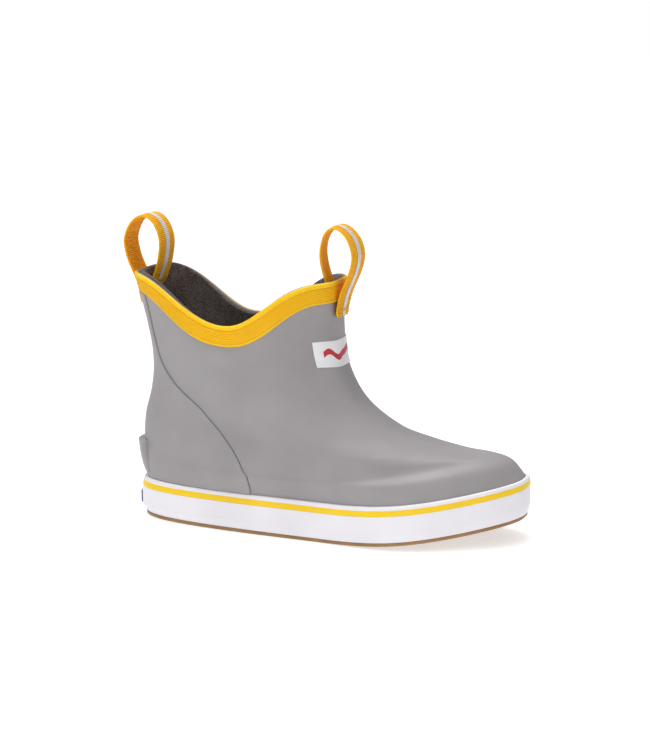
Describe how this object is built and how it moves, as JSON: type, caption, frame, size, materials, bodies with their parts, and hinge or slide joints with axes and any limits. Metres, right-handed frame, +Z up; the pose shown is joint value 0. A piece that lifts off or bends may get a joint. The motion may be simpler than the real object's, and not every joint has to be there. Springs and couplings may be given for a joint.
{
  "type": "deck boot",
  "caption": "Child's ankle-height rubber deck boot with a wrapped sidewall, gum sole, bound collar and webbing pull loops at front and back.",
  "frame": {"origin": "on the ground, under the middle of the sole's length, on the flat part of the outsole", "axes": "+X to the toe, -Y to the outer side of the foot, +Z up"},
  "size_m": [0.2173, 0.0748, 0.1605],
  "materials": {
    "grey_rubber": "satin moulded rubber",
    "gum_rubber": "matte gum rubber",
    "white_rubber": "satin white rubber",
    "yellow_rubber": "satin yellow rubber",
    "badge_rubber": "satin blue rubber",
    "foam": "closed cell foam",
    "footbed_foam": "moulded foam",
    "footbed_textile": "brushed knit",
    "fibre_board": "pressed fibre board",
    "lining_textile": "brushed knit",
    "binding_tape": "ribbed elastic tape",
    "webbing": "ribbed polyester webbing",
    "reflective_stripe": "silvery woven stripe",
    "thread": "polyester thread",
    "label_fabric": "smooth heat-sealed patch",
    "label_print": "printed ink"
  },
  "bodies": {
    "root": {"outsole": "gum_rubber", "midsole_core": "foam", "sidewall": "white_rubber", "sidewall_stripe": "yellow_rubber", "heel_badge": "badge_rubber", "insole_board": "fibre_board", "footbed": "footbed_foam", "footbed_cover": "footbed_textile", "upper_shell": "grey_rubber", "heel_panel": "grey_rubber", "heel_kick": "grey_rubber", "heel_stiffener": "fibre_board", "toe_reinforcement": "fibre_board", "lining": "lining_textile", "collar_binding": "binding_tape", "collar_stitching": "thread", "shin_label": "label_fabric", "shin_label_print": "label_print", "front_loop_tabs": "webbing", "front_loop_bartacks": "thread", "rear_loop_tabs": "webbing", "rear_loop_bartacks": "thread"},
    "front_loop": {"front_pull_loop": "webbing", "front_loop_stripe": "reflective_stripe"},
    "rear_loop": {"rear_pull_loop": "webbing", "rear_loop_stripe": "reflective_stripe"}
  },
  "joints": [
    {"name": "front_loop_swing", "type": "hinge", "parent": "root", "child": "front_loop", "pos_m": [0.00328, 0, 0.1327], "axis": [0, 1, 0], "range_deg": [-60, 60], "stiffness_Nm_per_rad": 0.01},
    {"name": "rear_loop_swing", "type": "hinge", "parent": "root", "child": "rear_loop", "pos_m": [-0.10379, 0, 0.1332], "axis": [0, 1, 0], "range_deg": [-60, 60], "stiffness_Nm_per_rad": 0.01}
  ]
}
